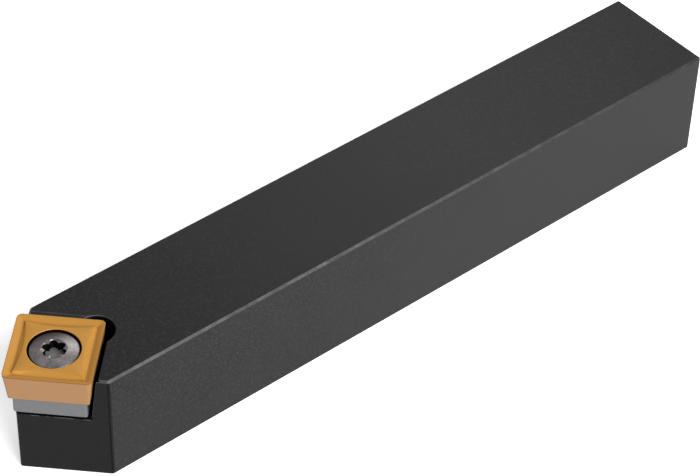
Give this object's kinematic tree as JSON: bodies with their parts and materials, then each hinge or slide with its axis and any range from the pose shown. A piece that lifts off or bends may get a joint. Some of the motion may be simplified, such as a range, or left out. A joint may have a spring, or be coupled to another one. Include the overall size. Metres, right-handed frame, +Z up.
{
  "type": "turning tool holder",
  "caption": "Square-shank turning tool holder with a screw-clamped square insert on a shim, set point forward at 45 degrees.",
  "frame": {"origin": "under the middle of the tool, on the underside that rests in the tool post", "axes": "+X from the cutting tip to the rear end of the shank, +Y across the shank, +Z up from the underside to the cutting edges"},
  "size_m": [0.127, 0.019, 0.0197],
  "materials": {
    "black_steel": "satin",
    "carbide": "satin",
    "plain_steel": "satin",
    "gold_coating": "satin",
    "screw_steel": "satin"
  },
  "bodies": {
    "holder": {"holder": "black_steel", "shim": "carbide", "shim_screw": "plain_steel"},
    "insert": {"insert": "gold_coating"},
    "insert_screw": {"insert_screw": "screw_steel"}
  },
  "joints": [
    {"name": "insert_lift", "type": "slide", "parent": "holder", "child": "insert", "axis": [0, 0, 1], "range_m": [0, 0.00562]},
    {"name": "insert_screw_turn", "type": "hinge", "parent": "insert", "child": "insert_screw", "pos_m": [-0.05485, 0, 0.0194], "axis": [0, 0, 1], "range_deg": [0, 2702]}
  ],
  "couplings": [
    {"joint": "insert_screw_turn", "follows": "insert_lift", "rad_per_m": 8377.6}
  ]
}
